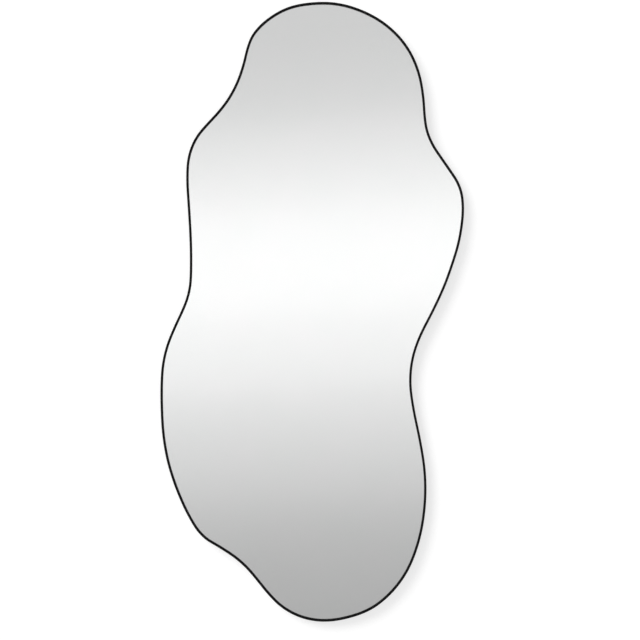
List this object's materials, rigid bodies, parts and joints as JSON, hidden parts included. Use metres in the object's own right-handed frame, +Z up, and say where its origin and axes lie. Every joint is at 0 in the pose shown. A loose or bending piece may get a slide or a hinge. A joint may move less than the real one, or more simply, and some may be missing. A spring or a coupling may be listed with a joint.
{
  "type": "wall mirror",
  "caption": "Full-length wall mirror with a wavy, asymmetric outline in a thin black metal frame, fibreboard back, hinged D-ring hangers and rubber wall bumpers.",
  "frame": {"origin": "on the wall plane behind the mirror, midway between the seats of the two wall hooks", "axes": "+X to the right seen from the front, +Y from the mirror into the wall, so the glass faces -Y, +Z up"},
  "size_m": [0.784, 0.027, 1.6],
  "materials": {
    "frame_black": "satin",
    "plate_steel": "satin",
    "screw_black": "satin",
    "glass": "polished",
    "silver": "polished",
    "film": "matte",
    "sealant": "satin",
    "foam": "matte",
    "fibreboard": "matte",
    "zinc_steel": "satin",
    "rubber": "matte"
  },
  "bodies": {
    "mirror": {"frame_rail": "frame_black", "frame_joint_plate": "plate_steel", "frame_joint_screws": "screw_black", "mirror_glass": "glass", "silver_coating": "silver", "safety_film": "film", "glazing_seal": "sealant", "foam_tape_1": "foam", "foam_tape_2": "foam", "foam_tape_3": "foam", "foam_tape_4": "foam", "backing_board": "fibreboard", "board_screws": "screw_black", "left_hanger_strap": "zinc_steel", "right_hanger_strap": "zinc_steel", "hanger_screws": "zinc_steel", "upper_left_bumper": "rubber", "upper_right_bumper": "rubber", "lower_left_bumper": "rubber", "lower_right_bumper": "rubber", "bumper_screws": "zinc_steel"},
    "left_ring": {"left_hanger_ring": "zinc_steel"},
    "right_ring": {"right_hanger_ring": "zinc_steel"}
  },
  "joints": [
    {"name": "left_ring_swing", "type": "hinge", "parent": "mirror", "child": "left_ring", "pos_m": [-0.2, -0.0058, -0.019], "axis": [-1, 0, 0], "range_deg": [-3, 175]},
    {"name": "right_ring_swing", "type": "hinge", "parent": "mirror", "child": "right_ring", "pos_m": [0.2, -0.0058, -0.019], "axis": [-1, 0, 0], "range_deg": [-3, 175]}
  ]
}
